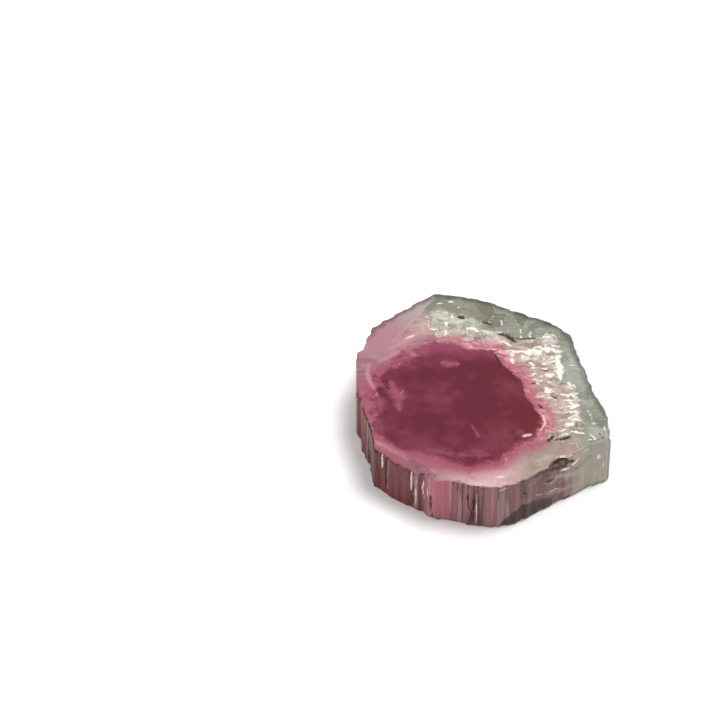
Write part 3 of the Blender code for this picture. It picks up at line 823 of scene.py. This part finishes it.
def crystal_material(settings):
    """Clear, zoned tourmaline: a see-through, absorbing body, veiled where it is cloudy or full of cracks."""
    material = bpy.data.materials.new("tourmaline")
    material.use_nodes = True
    tree = material.node_tree
    nodes = Nodes(tree)
    clear = tree.nodes["Principled BSDF"]
    clear.inputs["Transmission Weight"].default_value = 1.0
    clear.inputs["IOR"].default_value = CRYSTAL_IOR
    veiled = tree.nodes.new("ShaderNodeBsdfPrincipled")
    veiled.inputs["IOR"].default_value = CRYSTAL_IOR
    veiled.inputs["Specular IOR Level"].default_value = VEILED_GLOSS
    output = tree.nodes["Material Output"]

    metres = nodes.add("ShaderNodeTexCoord", output="Object")
    place = nodes.add("ShaderNodeVectorMath", {"operation": "SCALE"}, {0: metres, "Scale": 1 / MM})
    fields = {}
    for name in "xyz":
        fields[name] = nodes.add("ShaderNodeSeparateXYZ", None, {0: place}, output=name.upper())
    for name in ("core", "belt", "plane", "rim", "wall", "glow", "glint", "crack", "veil", "wedge"):
        fields[name] = nodes.add("ShaderNodeAttribute", {"attribute_name": name}, output="Fac")
    wall = fields["wall"]

    face = face_colour(nodes, place, fields, settings)
    shade = nodes.blend(wall, face, wall_colour(nodes, place, fields, settings))
    ragged = (nodes.noise(nodes.stretch(place, (1.0, 1.0, 0.2)), 8.0, 3.0, 0.7) - 0.5) * 1.4
    glint = nodes.step(fields["glint"] + ragged * nodes.step(fields["glint"], 0.0, 0.3), 0.40, 0.80)
    crack = nodes.step(fields["crack"] + ragged * nodes.step(fields["crack"], 0.0, 0.3), 0.35, 0.70)
    white = nodes.step(fields["x"] + fields["y"] * 0.4, -2.0, 0.5)
    white = white * (1 - nodes.step(fields["core"], -0.6, -0.2))
    white = nodes.blend(wall, white, nodes.step(fields["x"], 0.5, 3.0) * 0.8)
    spark = nodes.blend(white, settings.front_pale, settings.belt_white)
    # Painted highlights where the glints are, then painted shade in the cracks and in the front wall's
    # shadows
    shade = nodes.blend(glint * 0.8, shade, spark)
    shade = nodes.blend(crack * 0.92, shade, settings.crack_shade_brown)

    worn = nodes.noise(place, 5.0, 4.0, 0.6)
    in_belt = nodes.step(fields["belt"], 0.0, 0.3) * nodes.step(-fields["core"], -0.1, 0.2)
    front_left = nodes.step(-fields["x"] - fields["y"] * 0.9, 5.0, 6.5)
    worn_edge = (1 - nodes.step(fields["rim"] - front_left * 0.45, 0.05, 0.25)) * 0.45
    left_wall = wall * (1 - nodes.step(fields["x"], 2.0, 3.6)) * 0.3
    roughness = POLISH + in_belt * 0.14 + left_wall + worn_edge * (1 - wall)
    roughness = roughness + nodes.step(worn, 0.45, 0.7) * 0.1 + crack * 0.4

    grooves = nodes.noise(nodes.stretch(place, (1.0, 1.0, 0.08)), 11.0, 3.0, 0.6)
    grooves = grooves * wall * (1 - fields["glow"])
    flakes = nodes.noise(place, 9.0, 4.0, 0.65) * in_belt * (1 - wall)
    inputs = {"Height": grooves * 0.6 + flakes, "Distance": BUMP_HEIGHT, "Strength": 0.8}
    bump = nodes.add("ShaderNodeBump", None, inputs)

    for shader in (clear, veiled):
        tree.links.new(shade.link, shader.inputs["Base Color"])
        tree.links.new(roughness.link, shader.inputs["Roughness"])
        tree.links.new(bump.link, shader.inputs["Normal"])

    clear_side = nodes.step(fields["x"] * 0.78 + fields["y"] * 0.42, 0.9, 2.4) * (1 - in_belt)
    far_left = wall * (1 - nodes.step(fields["x"], -4.5, -2.0)) * 0.2
    cloudiness = VEILED_SHARE + in_belt * 0.2 - clear_side * 0.1 + glint * 0.3 + wall * 0.1
    cloudiness = cloudiness - wall * clear_side * 0.15 + crack * 0.3 + fields["wedge"] * 0.2 + far_left
    cloudiness = nodes.math("MINIMUM", cloudiness, 1.0)
    mixed = nodes.add("ShaderNodeMixShader", None, {0: cloudiness})
    tree.links.new(clear.outputs[0], mixed.link.node.inputs[1])
    tree.links.new(veiled.outputs[0], mixed.link.node.inputs[2])
    tree.links.new(mixed.link, output.inputs["Surface"])

    inputs = {"Color": BODY_TINT, "Density": BODY_DENSITY}
    absorption = nodes.add("ShaderNodeVolumeAbsorption", None, inputs)
    tree.links.new(absorption.link, output.inputs["Volume"])
    return material


class TOURMALINE_OT_crystal(bpy.types.Operator):
    """Model the slice's fine surface over its solid and give it its zoned crystal"""

    bl_idname = "tourmaline.crystal"
    bl_label = "Make the slice"

    def execute(self, context):
        settings = context.scene.tourmaline_crystal
        piece = crystal_copy(settings)
        soften_edges(piece)
        shape_surface(piece, settings)
        piece.data.materials.append(crystal_material(settings))
        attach(piece, "root")
        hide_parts(NODE)
        return {"FINISHED"}


def add_area_light(name, place, width, power):
    """Hang a soft disk of light and aim it at the middle of the slice."""
    bpy.ops.object.light_add(type="AREA", location=place)
    light = bpy.context.object
    light.name = name
    light.data.shape = "DISK"
    light.data.size = width
    light.data.energy = power
    light.rotation_euler = (MIDDLE - Vector(place)).to_track_quat("-Z", "Y").to_euler()


def add_camera(settings):
    """Look down at the slice from the front, with its middle where the photographed frame has it."""
    up = Vector((0, math.sin(settings.elevation), math.cos(settings.elevation)))
    look = Vector((0, math.cos(settings.elevation), -math.sin(settings.elevation)))
    right = (MIDDLE_PIXEL[0] - FRAME_PIXELS / 2) / PIXELS_PER_MM * MM
    down = (MIDDLE_PIXEL[1] - FRAME_PIXELS / 2) / PIXELS_PER_MM * MM
    place = MIDDLE - Vector((right, 0, 0)) + up * down - look * settings.distance
    bpy.ops.object.camera_add(location=place, rotation=look.to_track_quat("-Z", "Y").to_euler())
    camera = bpy.context.object
    camera.data.sensor_width = SENSOR
    camera.data.lens = PIXELS_PER_MM * (settings.distance / MM) / FRAME_PIXELS * SENSOR
    camera.data.clip_start = NEAREST
    camera.data.clip_end = FARTHEST
    bpy.context.scene.camera = camera


def add_floor(settings):
    """Lay a pale floor under the slice, a hair below it."""
    bpy.ops.mesh.primitive_plane_add(size=FLOOR_WIDTH, location=(0, 0, CAD_LOW.z - FLOOR_GAP))
    floor = bpy.context.object
    floor.name = "studio_floor"
    material = bpy.data.materials.new("studio floor")
    material.use_nodes = True
    shader = material.node_tree.nodes["Principled BSDF"]
    shader.inputs["Base Color"].default_value = (*settings.floor_colour, 1)
    shader.inputs["Roughness"].default_value = FLOOR_ROUGHNESS
    shader.inputs["Specular IOR Level"].default_value = FLOOR_GLOSS
    floor.data.materials.append(material)


def add_surround(settings):
    world = bpy.data.worlds.new("studio")
    world.use_nodes = True
    world.node_tree.nodes["Background"].inputs["Color"].default_value = (1, 1, 1, 1)
    world.node_tree.nodes["Background"].inputs["Strength"].default_value = settings.surround
    bpy.context.scene.world = world


class TOURMALINE_OT_stage(bpy.types.Operator):
    """Lay the pale floor and set the soft lights and the camera"""

    bl_idname = "tourmaline.stage"
    bl_label = "Set the stage"

    def execute(self, context):
        settings = context.scene.tourmaline_stage
        add_floor(settings)
        add_surround(settings)
        add_area_light("overhead_light", OVERHEAD_PLACE, OVERHEAD_WIDTH, settings.overhead_power)
        add_area_light("side_light", SIDE_PLACE, SIDE_WIDTH, settings.side_power)
        add_camera(settings)
        context.scene.view_settings.view_transform = "Standard"
        return {"FINISHED"}


class TOURMALINE_PT_panel(bpy.types.Panel):
    """Lists the slice's and the stage's operators and settings"""

    bl_idname = "TOURMALINE_PT_panel"
    bl_label = "Tourmaline slice"
    bl_space_type = "VIEW_3D"
    bl_region_type = "UI"
    bl_category = "Tourmaline"

    def draw(self, context):
        for operator, settings in (
            (TOURMALINE_OT_crystal, context.scene.tourmaline_crystal),
            (TOURMALINE_OT_stage, context.scene.tourmaline_stage),
        ):
            box = self.layout.box()
            box.operator(operator.bl_idname)
            for name in settings.__annotations__:
                box.prop(settings, name)


CLASSES = (CrystalSettings, StageSettings, TOURMALINE_OT_crystal, TOURMALINE_OT_stage, TOURMALINE_PT_panel)


def register():
    for item in CLASSES:
        bpy.utils.register_class(item)
    bpy.types.Scene.tourmaline_crystal = PointerProperty(type=CrystalSettings)
    bpy.types.Scene.tourmaline_stage = PointerProperty(type=StageSettings)


def unregister():
    del bpy.types.Scene.tourmaline_stage
    del bpy.types.Scene.tourmaline_crystal
    for item in reversed(CLASSES):
        bpy.utils.unregister_class(item)


def main():
    register()
    bpy.ops.tourmaline.crystal()
    bpy.ops.tourmaline.stage()


if __name__ == "__main__":
    main()
